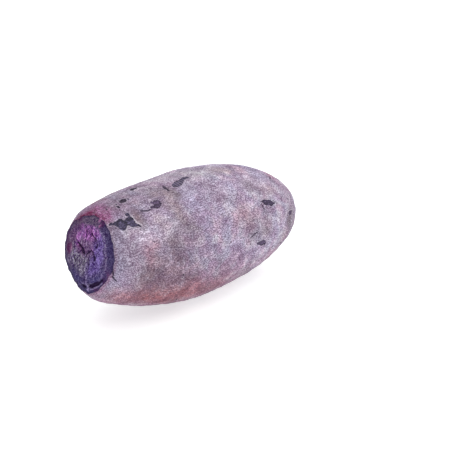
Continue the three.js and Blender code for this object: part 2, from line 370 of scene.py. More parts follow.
# dark mauve areas; the one at 34 mm and 70 degrees is partly painted shadow on the -Y side
zones["duskyAndShadow"] = [
    (41.4, 15.4, 4.4, 2.6, 0.8), (51.7, 21.5, 3, 4, 1), (51.6, 26, 3, 3, 0.6), (49, 59, 5, 7, 0.7),
    (17, 97, 4, 4, 0.6), (34, 70, 5, 6, 0.8), (19.5, 36, 3, 4, 0.9), (73, 26.5, 3, 2.5, 0.5),
]
# brown areas, mostly low on the -Y side: the skin's own brown, deepened there with painted shadow
zones["brownAndShadow"] = [
    (23, 90, 6, 8, 1), (34, 92, 7, 14, 1), (26, 116, 10, 10, 1), (16, 106, 5, 5, 0.7),
    (42, 108, 9, 12, 0.9), (24, 127, 8, 6, 0.8), (19.5, 33, 2.6, 4, 0.9),
]
zones["red"] = [
    (42, 130, 12, 8, 1), (25, 134, 12, 7, 0.9), (10.5, 144, 8, 7, 0.7), (49.6, 117, 7, 7, 0.5),
    (65, 128, 14, 8, 0.7),
]
zones["stain"] = [
    (3, 354, 3.6, 6, 1), (2, 12, 2.8, 4, 0.9), (5.2, 5, 3.4, 4, 0.9), (8, 350, 4, 4, 0.6),
    (9, 336, 5, 4, 0.5), (2.4, 327, 2.4, 5, 0.6), (0.8, 300, 1, 9, 0.6), (1, 268, 1.4, 5, 0.7),
    (4, 21, 2.4, 3, 0.3), (0.6, 128, 0.8, 14, 0.6),
]
zones["soaked"] = [
    (2.2, 345, 2.8, 3.4, 1), (0.3, 333, 1.3, 7, 1), (0.2, 354, 0.9, 3, 1), (12.5, 331, 2, 1, 0.7),
    (1, 14, 0.8, 1.2, 0.7),
]
zones["lined"] = [
    (24, 0, 20, 20, 1), (70, 350, 40, 14, 0.8), (28, 50, 24, 16, 0.6), (100, 30, 30, 20, 0.6),
]
zones["hatched"] = [(62, 12, 6, 4, 1)]

# The same on the cut: across, up, half across, half up, strength
cutZones = {}
cutZones["plum"] = [
    (7, 7, 6, 7, 0.9), (1.5, 8, 4, 5, 0.6), (2, -0.5, 3, 3, 0.6), (12, 8, 3, 6, 0.6),
    (5, 1.6, 2, 1.4, 0.6), (8.5, 2, 3, 3, 0.4), (2.3, -0.8, 2.4, 2, 0.4), (2, -5, 2.4, 3, 0.3),
]
cutZones["magenta"] = [
    (6.4, 11.4, 1.6, 3, 1), (8.2, 8, 1.3, 2.4, 0.9), (-1.6, 13, 1.6, 3, 1), (-4.8, 11.9, 1.9, 2.6, 0.9),
    (1.2, 13.6, 3, 1.8, 0.8), (2.8, 9.5, 2.4, 3, 0.7), (8.4, 4.6, 1.2, 1.6, 0.8), (0.4, 9.6, 3, 3, 0.6),
    (5, 3, 3, 2, 0.4), (-2.5, 3.4, 2, 2.4, 0.3),
]
cutZones["crimson"] = [
    (14, 1.2, 1.6, 3, 1), (12.6, 3.6, 1, 1.6, 0.6), (2.4, 11.6, 0.8, 2, 0.4), (0, 11.4, 0.7, 1.6, 0.15),
    (7.2, 3.4, 1, 1, 0.7), (-6.4, 17.4, 0.7, 1.5, 1), (-5, 17.8, 0.6, 0.8, 0.8),
    (10.6, 16.2, 2.2, 1.1, 0.9), (12.9, 0.6, 1, 2.2, 0.8), (8.8, 13.9, 3, 2.4, 0.4), (-13, -10, 1, 3, 0.6),
    (-8.6, -14.2, 2, 1.2, 0.6), (16, 6, 1.5, 5, 0.6),
]
cutZones["rose"] = [
    (-3.6, 18.6, 0.6, 0.9, 0.9), (-5.2, 16.2, 0.5, 0.7, 0.8), (-15.4, -6.6, 1, 3, 0.2),
    (12, 1.2, 0.8, 2, 0.4),
]
cutZones["violet"] = [
    (-7.4, 5.5, 4.2, 6, 1), (-7.6, 0, 4, 6, 1), (-4, -5.5, 3.2, 4.4, 1), (-6.6, 10, 2.6, 3, 0.8),
    (-9, -5, 2.5, 3.5, 0.6),
]
cutZones["mossy"] = [
    (4.9, -3.6, 4, 3.6, 1), (1.8, -7.2, 2.8, 3.2, 0.9), (8.6, -2.6, 3, 3.2, 0.9), (1.8, 7.4, 2, 2.2, 1),
    (1.2, -1.7, 1.6, 1.6, 0.6), (10.4, 2.6, 2.6, 3.4, 0.7), (5.8, 5.6, 1.8, 2, 0.6),
    (3.4, 3.6, 1.6, 1.6, 0.5),
]
cutZones["navy"] = [
    (3.4, -12, 5, 2.6, 1), (-12.4, -5.5, 2.6, 4.5, 0.8), (-5, -15, 5, 2.4, 0.3), (7.5, -9, 3, 3, 0.7),
    (-6.5, -10.2, 4, 2, 0.9), (-9.4, -8.4, 2.4, 2, 0.7), (12.4, -3.4, 1.6, 3, 0.25),
]

bandStarts = {  # where the outer band of the cut begins: degrees round, share of the way to the rim
    "around": [0, 40, 75, 110, 180, 250, 300, 360],
    "share": [0.79, 0.86, 0.82, 0.84, 0.81, 0.9, 0.9, 0.79],
}

hiddenMarks = {
    "seed": 41,
    "patches": [  # along, around, length, width, tone
        (22, 212, 7, 3.5, 0.7), (33, 296, 13, 5, 0.9), (58, 258, 5, 4, 0.5), (74, 322, 9, 3, 0.7),
        (92, 205, 6, 3, 0.6), (98, 292, 4, 3, 0.8), (113, 262, 10, 4, 0.8), (124, 338, 5, 3, 0.6),
        (97, 96, 7, 3, 0.7), (108, 60, 9, 3.5, 0.8), (128, 80, 4, 2.4, 0.6), (84, 148, 5, 3, 0.5),
        (132, 172, 6, 3, 0.6), (12, 268, 6, 3, 0.8),
    ],
    "corners": 16,
    "ragged": (-0.35, 0.45),  # least and most that a corner stands out, as a share of the radius
    "lean": (-0.4, 0.4),
    "dots": 34,
    "dotRadius": (0.35, 0.7),
    "dotTone": (0.5, 1),
    "creases": 16,
    "creaseShape": ((1, 3.5), (-1.5, 1.5), (-0.5, 0.5)),  # half its run, half its drop, bend
    "creaseHalf": (0.25, 0.45),
    "slit": (0.45, [(-0.4, -1.6), (0.1, -0.4), (-0.1, 0.5), (0.4, 1.5)]),  # half width, line
    "blotches": 16,  # of each colour
    "blotchSize": (3, 8),
    "blotchStrength": (0.4, 0.9),
    "farShare": 0.7,  # of the places are underneath and on the far side, the others past the middle
    "farSide": ((6, 138), (165, 335)),  # along, around
    "rootEnd": ((78, 140), (-25, 165)),
}


# Offsets of the points (u, v) from the first corner of each edge, and distances to the edges, in mm
def edgeOffsets(u, v, corner, edge):
    du, dv = u[:, None] - corner[:, 0], v[:, None] - corner[:, 1]
    share = np.clip((du * edge[:, 0] + dv * edge[:, 1]) / (edge**2).sum(1), 0, 1)
    return du, dv, np.hypot(du - share * edge[:, 0], dv - share * edge[:, 1])


# Distance to a closed outline, negative inside: where a line to one side crosses an odd number of edges
def outlineDistance(u, v, outline):
    corner = np.array(outline, float)
    following = np.roll(corner, -1, axis=0)
    edge = following - corner
    du, dv, gap = edgeOffsets(u, v, corner, edge)
    straddles = (corner[:, 1] > v[:, None]) != (following[:, 1] > v[:, None])
    steepness = np.where(edge[:, 1] == 0, 1e-9, edge[:, 1])
    inside = (straddles & (du < dv * edge[:, 0] / steepness)).sum(1) % 2 == 1
    return np.where(inside, -gap.min(1), gap.min(1))


# Distance to an open line, with its sign from the side that the points are on
def lineDistance(u, v, line):
    corner = np.array(line, float)
    edge = np.diff(corner, axis=0)
    du, dv, gap = edgeOffsets(u, v, corner[:-1], edge)
    nearest = gap.argmin(1)
    row = np.arange(len(u))
    side = np.sign(edge[nearest, 0] * dv[row, nearest] - edge[nearest, 1] * du[row, nearest])
    return gap[row, nearest] * np.where(side == 0, 1, side)


# A ragged oval: radius 1 plus random steps, stretched to its length and width
def raggedOutline(rng, length, width):
    corners = hiddenMarks["corners"]
    angle = np.arange(corners) / corners * 2 * np.pi
    radius = 1 + rng.uniform(*hiddenMarks["ragged"], corners)
    lean = rng.uniform(*hiddenMarks["lean"])
    u, v = length / 2 * radius * np.cos(angle), width / 2 * radius * np.sin(angle)
    return list(zip(u, v + lean * u))


# A place on the parts that the marks above leave bare
def hiddenPlace(rng):
    part = "farSide" if rng.random() < hiddenMarks["farShare"] else "rootEnd"
    along, around = hiddenMarks[part]
    return rng.uniform(*along), rng.uniform(*around)


def addHiddenMarks():
    rng = np.random.default_rng(hiddenMarks["seed"])
    for along, around, length, width, tone in hiddenMarks["patches"]:
        marks["patches"].append((along, around, tone, raggedOutline(rng, length, width)))
    for _ in range(hiddenMarks["dots"]):
        radius, tone = hiddenMarks["dotRadius"], hiddenMarks["dotTone"]
        marks["dots"].append((*hiddenPlace(rng), rng.uniform(*radius), rng.uniform(*tone)))
    for along, around, _, _ in yam["dents"]:  # a short dark slit where a fine root came out
        marks["creases"].append((along, around, *hiddenMarks["slit"]))
    for _ in range(hiddenMarks["creases"]):
        run, drop, bend = (rng.uniform(*reach) for reach in hiddenMarks["creaseShape"])
        line = [(-run, -drop), (0, bend), (run, drop)]
        marks["creases"].append((*hiddenPlace(rng), rng.uniform(*hiddenMarks["creaseHalf"]), line))
    for name in ("tan", "cool", "rosy", "duskyAndShadow"):
        for _ in range(hiddenMarks["blotches"]):
            size, strength = rng.uniform(*hiddenMarks["blotchSize"], 2), hiddenMarks["blotchStrength"]
            zones[name].append((*hiddenPlace(rng), *size, rng.uniform(*strength)))


limits = {  # mm
    "patchReach": 14,  # a mark is worked out this far from its place
    "lineReach": 9,
    "patchFar": 3.0,  # taken as the distance where no patch is nearer
    "lineFar": 4.0,  # the same, in half widths
    "lineFade": 0.7,
    "dotCorners": 7,  # a dot is a small patch with this many corners
}


# Where a point is from a place on the skin: mm towards the root, and mm round
def skinOffset(grid, along, around):
    radius = np.maximum(sectionRadius(grid["along"]), 1)
    return grid["along"] - along, arcBetween(grid["around"], around, radius)


# The nearest patch: its signed distance and its tone
def patchFields(grid):
    distance = np.full(grid["along"].shape, limits["patchFar"])
    tone = np.zeros_like(distance)
    shapes = list(marks["patches"])
    turn = np.arange(limits["dotCorners"]) * 2 * np.pi / limits["dotCorners"]
    for along, around, radius, darkness in marks["dots"]:
        shapes.append((along, around, darkness, list(zip(radius * np.cos(turn), radius * np.sin(turn)))))
    for along, around, darkness, outline in shapes:
        u, v = skinOffset(grid, along, around)
        near = (np.hypot(u, v) < limits["patchReach"]) & (grid["rimGap"] > 0)
        gap = outlineDistance(u[near], v[near], outline)
        closer = gap < distance[near]
        distance[near] = np.where(closer, gap, distance[near])
        tone[near] = np.where(closer, darkness, tone[near])
    return distance, tone


# The nearest line: signed distance in half widths, and a share that is 1 on a line and fades beside it
def lineFields(grid, skinLines, cutLines):
    offset = np.full(grid["along"].shape, limits["lineFar"])
    show = np.zeros_like(offset)
    onSkin, onCut = grid["rimGap"] > 0, grid["rimGap"] <= 0
    places = [(skinOffset(grid, *place), onSkin, half, line) for *place, half, line in skinLines]
    places += [((grid["across"], grid["up"]), onCut, half, line) for half, line in cutLines]
    for (u, v), side, half, line in places:
        middle = np.mean(line, axis=0)
        near = side & (np.hypot(u - middle[0], v - middle[1]) < limits["lineReach"])
        gap = lineDistance(u[near], v[near], line)
        closer = np.abs(gap / half) < np.abs(offset[near])
        offset[near] = np.where(closer, gap / half, offset[near])
        show[near] = np.maximum(show[near], 1 - smooth(np.abs(gap), half, half + limits["lineFade"]))
    return offset, show


# Sum of stretched bells, kept to 1
def zoneField(grid, places, onCut=False):
    total = np.zeros_like(grid["along"])
    for first, second, halfFirst, halfSecond, strength in places:
        if onCut:
            u, v = grid["across"] - first, grid["up"] - second
        else:
            u, v = skinOffset(grid, first, second)
        total += strength * np.exp(-((u / halfFirst) ** 2) - (v / halfSecond) ** 2)
    onItsSide = grid["rimGap"] <= 0 if onCut else grid["rimGap"] >= 0
    return np.clip(total, 0, 1) * onItsSide


finish = {
    "waves": 36,  # in each of the next four
    "lumps": (0.055, 3, 3.5, 9, (1, 1, 1)),  # height in mm, seed, shortest and longest wave, stretch
    "wrinkles": (0.05, 5, 2.2, 4, (1, 3.5, 3.5)),
    "rimRagged": (0.1, 7, 1.4, 4, (1, 1, 1)),
    "cutRough": (0.12, 9, 1.6, 5, (1, 1, 1.6)),
    "skinFrom": (0, 4),  # mm past the rim where the skin's relief starts, and where it is full
    "cutFrom": (-2.5, -0.2),  # the same, for the end of the cut's roughness
    "raggedWidth": 1.1,
    "patchDepth": 0.25,
    "patchWall": (-0.4, 0.2),  # mm from the outline, from full depth to none
    "patchLip": (0.12, 0.55, 0.35),  # height, mm outside the patch, width
    "rimCurl": (0.22, 0.7, 0.7),  # the same, past the rim
    "creaseDepth": 0.4,
    "creaseWidth": 1.2,  # in half widths
    "plainMiddle": 0.06,  # share of the cut's radius over which the relief starts
    "plainTip": 0.6,  # mm, the same at the root tip
    "fuller": [(7.5, 171, 6.5, 9, 1), (79, 334, 15, 10, 0.8), (8.5, 314, 6, 8, 0.9)],  # as a zone
}


# Fine relief along the normals, in mm: fuller places, lumps and wrinkles on the skin, sunken patches with
# a raised lip, sunken lines, a ragged and slightly curled rim, and a rough cut
def fineRelief(grid, fields):
    point, gap, patch = grid["point"], grid["rimGap"], fields["patch"]
    lumpy = zoneField(grid, finish["fuller"]) + tangled(point, *finish["lumps"])
    lumpy = smooth(gap, *finish["skinFrom"]) * (lumpy + tangled(point, *finish["wrinkles"]))
    lipHeight, lipPlace, lipWidth = finish["patchLip"]
    sunk = finish["patchDepth"] * (1 - smooth(patch, *finish["patchWall"]))
    sunk = sunk - lipHeight * bell(patch - lipPlace, lipWidth)
    crease = finish["creaseDepth"] * fields["creaseShow"] * bell(fields["crease"], finish["creaseWidth"])
    ragged = bell(gap, finish["raggedWidth"]) * tangled(point, *finish["rimRagged"])
    curlHeight, curlPlace, curlWidth = finish["rimCurl"]
    curl = curlHeight * bell(gap - curlPlace, curlWidth) * (gap > 0)
    cut = (1 - smooth(gap, *finish["cutFrom"])) * tangled(point, *finish["cutRough"])
    awayFromPoles = smooth(grid["share"], 0, finish["plainMiddle"])
    awayFromPoles = awayFromPoles * smooth(bodyLength - grid["along"], 0, finish["plainTip"])
    return (lumpy - sunk - crease + ragged + curl + cut) * awayFromPoles


def buildYam():
    addHiddenMarks()
    grid = yamGrid()
    fields = {}
    fields["patch"], fields["patchTone"] = patchFields(grid)
    fields["crease"], fields["creaseShow"] = lineFields(grid, marks["creases"], marks["cutCracks"])
    fields["torn"], fields["tornShow"] = lineFields(grid, marks["tornEdges"], marks["cutThreads"])
    fields |= {name: zoneField(grid, places) for name, places in zones.items()}
    fields |= {name: zoneField(grid, places, onCut=True) for name, places in cutZones.items()}
    fields["rimGap"] = grid["rimGap"]
    fields["band"] = grid["share"] - np.interp(grid["around"], bandStarts["around"], bandStarts["share"])
    fields["tip"] = sectionRadius(grid["along"]) + farOff * (grid["along"] < yam["fullestAt"])
    fields["tipFolds"] = tipFolds(fields["tip"], grid["around"])
    point = grid["point"] + gridNormals(grid["point"]) * fineRelief(grid, fields)[..., None]
    return standInFrame(point), fields


# Centred on the CAD yam's box with its top at the same height, pressed flat at the floor, in metres
def standInFrame(point):
    low, high = point.reshape(-1, 3).min(0), point.reshape(-1, 3).max(0)
    boxLow, boxHigh = np.array(yamLow) * 1000, np.array(yamHigh) * 1000
    move = (boxLow + boxHigh) / 2 - (low + high) / 2
    move[2] = boxHigh[2] - high[2]
    point = point + move
    point[..., 2] = np.maximum(0, point[..., 2])
    return point / 1000


# One closed mesh: a point at each pole, the rows between, and three-sided faces only at the poles
def closedMesh(name, point, fields):
    rows, columns = point.shape[:2]
    vertices = np.concatenate([point[:1, 0], point[1:-1].reshape(-1, 3), point[-1:, 0]])
    index = 1 + np.arange((rows - 2) * columns).reshape(rows - 2, columns)
    beside = np.roll(index, -1, axis=1)
    quads = np.stack([index[:-1], index[1:], beside[1:], beside[:-1]], axis=-1).reshape(-1, 4)
    startFan = np.stack([np.zeros(columns, int), index[0], beside[0]], axis=-1)
    endFan = np.stack([np.full(columns, len(vertices) - 1), beside[-1], index[-1]], axis=-1)
    mesh = bpy.data.meshes.new(name)
    mesh.from_pydata(vertices.tolist(), [], startFan.tolist() + quads.tolist() + endFan.tolist())
    for fieldName, values in fields.items():
        flat = np.concatenate([values[:1, 0], values[1:-1].ravel(), values[-1:, 0]])
        layer = mesh.attributes.new(fieldName, "FLOAT", "POINT")
        layer.data.foreach_set("value", flat.astype(np.float32))
    mesh.polygons.foreach_set("use_smooth", np.ones(len(mesh.polygons), bool))
    onCut = np.arange(len(mesh.polygons)) < yam["faceRows"] * columns
    mesh.polygons.foreach_set("material_index", onCut.astype(np.int32))  # 0 skin, 1 cut
    mesh.update()
    mesh.validate()
    return mesh


def addObject(name, data):
    thing = bpy.data.objects.new(name, data)
    scene.collection.objects.link(thing)
    return thing


tuber = addObject("yam_skin_and_cut", closedMesh("yam_skin_and_cut", *buildYam()))
print("surface made:", len(tuber.data.vertices), "vertices")


def paint(code):  # "b4a3b5" to a linear colour
    parts = [int(code[place : place + 2], 16) / 255 for place in (0, 2, 4)]
    linear = [part / 12.92 if part <= 0.04045 else ((part + 0.055) / 1.055) ** 2.4 for part in parts]
    return (*linear, 1.0)


def isSocket(value):
    return isinstance(value, bpy.types.NodeSocket)


def feed(node, values):
    for key, value in values.items():
        if isSocket(value):
            node.id_data.links.new(value, node.inputs[key])
        else:
            node.inputs[key].default_value = value


def addNode(kind, values, **settings):  # in the node tree that its linked values come from
    tree = next(value.id_data for value in values.values() if isSocket(value))
    node = tree.nodes.new("ShaderNode" + kind)
    for name, setting in settings.items():
        setattr(node, name, setting)
    feed(node, values)
    return node


def calc(operation, *values, clamp=False):
    return addNode("Math", dict(enumerate(values)), operation=operation, use_clamp=clamp).outputs[0]


def vector(operation, *values):
    return addNode("VectorMath", dict(enumerate(values)), operation=operation).outputs[0]


def plus(first, second):
    return calc("ADD", first, second)


def times(first, second, clamp=False):
    return calc("MULTIPLY", first, second, clamp=clamp)


def scaled(value, amount, start):  # start + amount x value
    return calc("MULTIPLY_ADD", value, amount, start)


def sway(value, amount):  # 0 to 1 becomes half the amount below 0 to half above
    return scaled(value, amount, -amount / 2)


def rise(value, low, high):  # 0 at low, 1 at high, eased
    values = {"Value": value, "From Min": low, "From Max": high}
    return addNode("MapRange", values, interpolation_type="SMOOTHSTEP").outputs["Result"]


def tint(share, under, over):
    values = {0: share, 6: under, 7: over}
    return addNode("Mix", values, data_type="RGBA", clamp_factor=True).outputs[2]


def field(place, name):  # the values that the mesh holds under that name
    node = place.id_data.nodes.new("ShaderNodeAttribute")
    node.attribute_name = name
    return node.outputs["Fac"]


def axisOf(place, axis):  # 0, 1 or 2 for X, Y or Z
    return addNode("SeparateXYZ", {0: place}).outputs[axis]


def grainOf(place, size, detail, rough, twist, shift):
    if isinstance(size, tuple):  # a size for each axis
        place = vector("MULTIPLY", place, tuple(1 / length for length in size))
        size = 1
    return addNode("TexNoise", {
        "Vector": vector("ADD", place, (shift, 1.7 * shift, 0.6 * shift)),
        "Scale": 1 / size,
        "Detail": detail,
        "Roughness": rough,
        "Distortion": twist,
    }).outputs[0]


def lineShare(place, name, wander, far, near):  # 1 on the lines of that name, in half widths
    gap = plus(calc("ABSOLUTE", field(place, name)), wander)
    return times(rise(gap, far, near), field(place, name + "Show"))


def worms(value, halfWidth):  # thin winding lines where a noise crosses its middle
    return rise(calc("ABSOLUTE", plus(value, -0.5)), halfWidth, 0.0)


def brighten(colour, factor, pull=(1, 1, 1)):  # pull: how strongly red, green and blue follow
    return vector("MULTIPLY", colour, vector("MULTIPLY_ADD", plus(factor, -1), pull, (1, 1, 1)))


def newMaterial(name):
    material = bpy.data.materials.new(name)
    material.use_nodes = True
    return material, material.node_tree.nodes["Principled BSDF"]


steps = {"fine": (0.34, 0.66), "grit": (0.36, 0.64)}  # where the finest noises turn from dark to light


def fineSwing(recipe, grain):
    fine, grit = (sway(rise(grain[name], *steps[name]), recipe[name + "Contrast"]) for name in steps)
    return plus(fine, grit)


def broadSwing(recipe, grain, swing):
    for name, amount in recipe["contrast"].items():
        swing = plus(swing, sway(grain[name], amount))
    return swing


# One material of the yam: its layers of colour, and relief from its grains and sunken marks
def addLayers(name, recipe, layers):
    material, shader = newMaterial(name)
    coordinates = material.node_tree.nodes.new("ShaderNodeTexCoord").outputs["Object"]
    place = vector("MULTIPLY", coordinates, (1000, 1000, 1000))  # in mm
    look = {key: paint(code) for key, code in recipe["colours"].items()}
    grain = {key: grainOf(place, *numbers) for key, numbers in recipe["grains"].items()}
    colour, sunk = layers(place, look, recipe["cover"], grain)
    relief = 0.0
    for key, height in recipe["bump"].items():
        relief = scaled((grain | sunk)[key], height, relief)
    least, most = recipe["roughness"]
    feed(shader, {
        "Base Color": colour,
        "Normal": addNode("Bump", {"Height": relief, "Strength": 1.0, "Distance": 0.001}).outputs[0],
        "Roughness": scaled(grain["small"], most - least, least),
        "Specular IOR Level": recipe["shine"],
    })
    tuber.data.materials.append(material)


skinLook = {
    "colours": {
        "base": "95869c", "lilac": "9185a3", "blush": "9c8d9b", "driftGrey": "9690a0",
        # the pale colour also paints light on the top outline and the right end
        "driftMauve": "9b7d96", "tan": "8f7b82", "cool": "9990ac", "paleAndPaintedLight": "c0b3c6", "silver": "9d979f",
        # the dusky and brown colours also paint shadow low on the -Y side
        "rosy": "a3788a", "duskyAndShadow": "6e6068", "darkMauveGrey": "6a5d6f", "brownAndShadow": "69505b", "red": "8a5158",
        # the belly colour is the underside's own red, darkened further to paint shade
        "stain": "7e426c", "stainDeep": "58153c", "stainLight": "c890c0", "undersideRedAndShade": "76434a",
        "speck": "3c3040", "paleEdge": "cfc6d2", "patchLight": "564059", "patchDark": "393347",
        "patchBlack": "2b2232", "crease": "2b2035", "tipScar": "8a7882", "tipCore": "3c2c36",
    },
    "cover": {  # how far each layer hides what is under it
        "undersideRedAndShade": 0.7, "drift": 0.5, "speck": 0.7, "drops": 0.85, "strands": 0.6, "patchEdge": 0.3,
        "hatching": 0.45, "crease": 0.9, "folds": 0.4, "tipScar": 0.85, "tipCore": 0.8,
    },
    "grains": {  # size in mm, or one for each axis; detail, roughness, twist, shift
        "broad": (24, 1, 0.5, 0, 0),
        "drift": (8, 1, 0.5, 0.8, 67),
        "middle": (7, 1, 0.5, 0.4, 11),
        "small": (2.6, 3, 0.6, 0.6, 23),
        "net": (1.5, 1, 0.5, 1, 83),
        "soft": ((9, 6, 6), 1, 0.5, 0.4, 91),
        "fine": ((1.7, 0.6, 0.6), 2, 0.6, 0.5, 37),
        "grit": ((0.9, 0.44, 0.44), 1, 0.5, 0, 51),
        "wrinkles": ((0.8, 4, 4), 2, 0.55, 0.3, 0),
        "lines": ((5, 0.6, 0.6), 2, 0.5, 0.2, 0),
        "wideLines": ((9, 1.6, 1.6), 2, 0.5, 0.3, 7),
        "drops": ((1.5, 0.8, 0.8), 1, 0.5, 0, 29),
        "strands": ((0.7, 2.6, 2.6), 1, 0.5, 0, 97),
    },
    "fineContrast": 0.36,
    "gritContrast": 1.06,
    "contrast": {"small": 0.15, "middle": 1.1, "broad": 0.6, "soft": 0.7, "drift": 0.5},
    "patchContrast": {"lines": 0.5, "small": 0.9, "fine": 0.6, "grit": 0.8},
    "netDepth": 0.16,
    "pull": (0.95, 1.08, 0.96),  # green swings most, so that dark grain stays purple
    "undersideRedAndShadeHeights": (34, 6),  # mm, from the upper edge of the red and painted underside shade to where it is full
    "undersideRedAndShadeWander": 22,
    "zoneCover": 0.35,  # at least, and how much more where the small noise is high
    "zonePatchy": 0.4,
    "speckSpacing": 3.4,
    "patchRagged": 0.8,
    "hatchPitch": 1.9,
    "bump": {  # mm
        "grit": 0.05, "fine": 0.1, "wrinkles": 0.1, "small": 0.12, "patch": -0.12, "crease": -0.15,
    },
    "roughness": (0.7, 0.9),
    "shine": 0.2,
}


def skinLayers(place, look, cover, grain):
    small, middle, fine, grit = (grain[name] for name in ("small", "middle", "fine", "grit"))

    # A lilac ground that drifts, and reddens and darkens low down (partly the skin's own red, partly
    # painted shade on the underside), with the soft-edged areas over it
    colour = tint(rise(grain["broad"], 0.35, 0.62), look["base"], look["lilac"])
    colour = tint(rise(middle, 0.38, 0.72), colour, look["blush"])
    # redder and darker low down: the skin's own red plus painted shade on the underside
    height = plus(axisOf(place, 2), sway(middle, skinLook["undersideRedAndShadeWander"]))
    lowDownRedAndShade = rise(height, *skinLook["undersideRedAndShadeHeights"])
    colour = tint(times(lowDownRedAndShade, cover["undersideRedAndShade"]), colour, look["undersideRedAndShade"])
    drift = tint(rise(grain["drift"], 0.32, 0.68), look["driftMauve"], look["driftGrey"])
    colour = tint(cover["drift"], colour, drift)
    patchy = scaled(rise(small, 0.28, 0.62), skinLook["zonePatchy"], skinLook["zoneCover"])
    # the pale areas also carry painted light, and the dusky and brown ones painted shadow, over their own
    # colour
    for name in ("darkMauveGrey", "cool", "paleAndPaintedLight", "silver", "rosy", "tan", "duskyAndShadow", "brownAndShadow", "red"):
        colour = tint(times(field(place, name), patchy), colour, look[name])

    # Sap stains by the cut
    stained = times(field(place, "stain"), scaled(small, 1.2, 0.1), clamp=True)
    colour = tint(stained, colour, look["stain"])
    soaked = times(field(place, "soaked"), scaled(small, 1.4, 0.3))
    colour = tint(soaked, colour, look["stainDeep"])

    # Light and dark: fine grain, broader swings, streaks where the skin is lined, and a thin dark net
    lined = field(place, "lined")
    swing = times(fineSwing(skinLook, grain), scaled(lined, -0.1, 1.0))
    swing = broadSwing(skinLook, grain, swing)
    streaks = plus(plus(grain["lines"], grain["wideLines"]), -1)
    swing = plus(swing, times(lined, streaks))
    swing = scaled(worms(grain["net"], 0.035), -skinLook["netDepth"], swing)
    brightness = calc("EXPONENT", plus(swing, -0.05))
    colour = brighten(colour, brightness, skinLook["pull"])

    # Dark specks, then drops and pale strands in the stain
    specks = addNode("TexVoronoi", {"Vector": place, "Scale": 1 / skinLook["speckSpacing"]})
    rare = rise(axisOf(specks.outputs["Color"], 0), 0.6, 0.62)
    dot = times(rise(specks.outputs["Distance"], 0.15, 0.05), rare)
    colour = tint(times(dot, cover["speck"]), colour, look["speck"])
    drops = times(rise(grain["drops"], 0.62, 0.7), stained)
    colour = tint(times(drops, cover["drops"]), colour, look["stainDeep"])
    strands = times(rise(grain["strands"], 0.56, 0.68), stained)
    colour = tint(times(strands, cover["strands"]), colour, look["stainLight"])

    # Flakes: a pale edge round a mottled floor with painted shade along the inside of its outline, hatched
    # in one place
    patch = plus(field(place, "patch"), scaled(plus(fine, small), skinLook["patchRagged"], -0.9))
    inPatch = rise(patch, 0.12, -0.12)
    # a pale ring just outside each patch
    edge = times(times(rise(patch, 0.0, 0.2), rise(patch, 0.8, 0.3)), rise(small, 0.42, 0.6))
    colour = tint(times(edge, cover["patchEdge"]), colour, look["paleEdge"])
    tone = field(place, "patchTone")
    patchColour = tint(tone, look["patchLight"], look["patchDark"])
    patchColour = tint(rise(tone, 1.0, 1.5), patchColour, look["patchBlack"])
    # darker towards the outline inside each patch: painted shade under the sunken patch's edge
    mottledAndEdgeShade = scaled(rise(patch, -0.9, 0), -0.3, -1.2)
    for name, amount in skinLook["patchContrast"].items():
        mottledAndEdgeShade = scaled(rise(grain[name], *steps["grit"]), amount, mottledAndEdgeShade)
    patchColour = brighten(patchColour, calc("EXPONENT", mottledAndEdgeShade))
    turn = times(axisOf(place, 0), 2 * math.pi / skinLook["hatchPitch"])
    hatching = times(field(place, "hatched"), rise(calc("SINE", turn), -0.3, 0.7))
    patchColour = tint(times(hatching, cover["hatching"]), patchColour, look["base"])
    colour = tint(inPatch, colour, patchColour)

    # Dark cracks and the pale torn edge
    inCrease = lineShare(place, "crease", sway(fine, 2), 1.15, 0.6)
    colour = tint(times(inCrease, cover["crease"]), colour, look["crease"])
    colour = tint(lineShare(place, "torn", 0, 1.2, 0.5), colour, look["paleEdge"])

    # The root tip: painted shade between its folds, corky round the stub, and a dark core
    folds = plus(field(place, "tipFolds"), scaled(plus(middle, small), 2, -2))
    folds = rise(folds, -0.5, -1.1)
    # the crease colour laid in the fold valleys as painted shade
    colour = tint(times(folds, cover["folds"]), colour, look["crease"])
    corky = brighten(look["tipScar"][:3], scaled(fine, 2.4, scaled(grit, 1.6, -1)))
    tip = plus(field(place, "tip"), sway(small, 5))
    colour = tint(times(rise(tip, 4.6, 3.2), cover["tipScar"]), colour, corky)
    colour = tint(times(rise(tip, 2.2, 1.0), cover["tipCore"]), colour, look["tipCore"])

    return colour, {"patch": inPatch, "crease": inCrease}


cutLook = {
    "colours": {
        "ground": "483657", "plum": "58325d", "magenta": "7f4787", "magentaLight": "bd74c8",
        "crimson": "480f46", "rose": "b0689c", "violet": "4c3676", "violetLight": "7c62ae",
        "mossy": "544a5f", "mossyLight": "9d90ab", "navy": "30255a", "slate": "372c58",
        # the thread colour also paints the highlight along the band's shoulder
        "topBand": "53425c", "edge": "2a1c40", "crack": "240838", "threadAndHighlight": "aa97c6", "fleck": "b8a8e4",
    },
    "cover": {
        "marbling": 0.7, "threads": 0.25, "band": 0.85, "shoulderHighlight": 0.15, "fleck": 0.5, "edge": 0.6,
        "crack": 0.9,
    },
    "grains": {
        "middle": (5, 3, 0.55, 0.5, 5),
        "small": (2, 3, 0.6, 0.8, 13),
        "fine": (0.8, 2, 0.6, 0.6, 29),
        "grit": (0.5, 1, 0.5, 0, 43),
        "streaks": ((1.2, 1.1, 2.6), 2, 0.6, 0.8, 3),
        "threads": ((1.2, 1.5, 3), 2, 0.5, 1.2, 9),
        "flecks": (0.7, 0, 0.5, 0, 71),
    },
    "fineContrast": 0.8,
    "gritContrast": 1.1,
    "contrast": {"small": 1.4, "streaks": 1.2, "middle": 0.6},
    "darkest": 0.2,
    "pull": (0.95, 1.25, 0.7),
    "topBandHeights": (50, 58),  # mm, from where it starts to where it is full
    "lightSide": (-8, -14),  # the same, for the painted shoulder highlight, along Y
    "bump": {"streaks": 0.3, "fine": 0.16, "small": 0.25, "crack": -0.3},
    "roughness": (0.51, 0.81),
    "shine": 0.12,
}


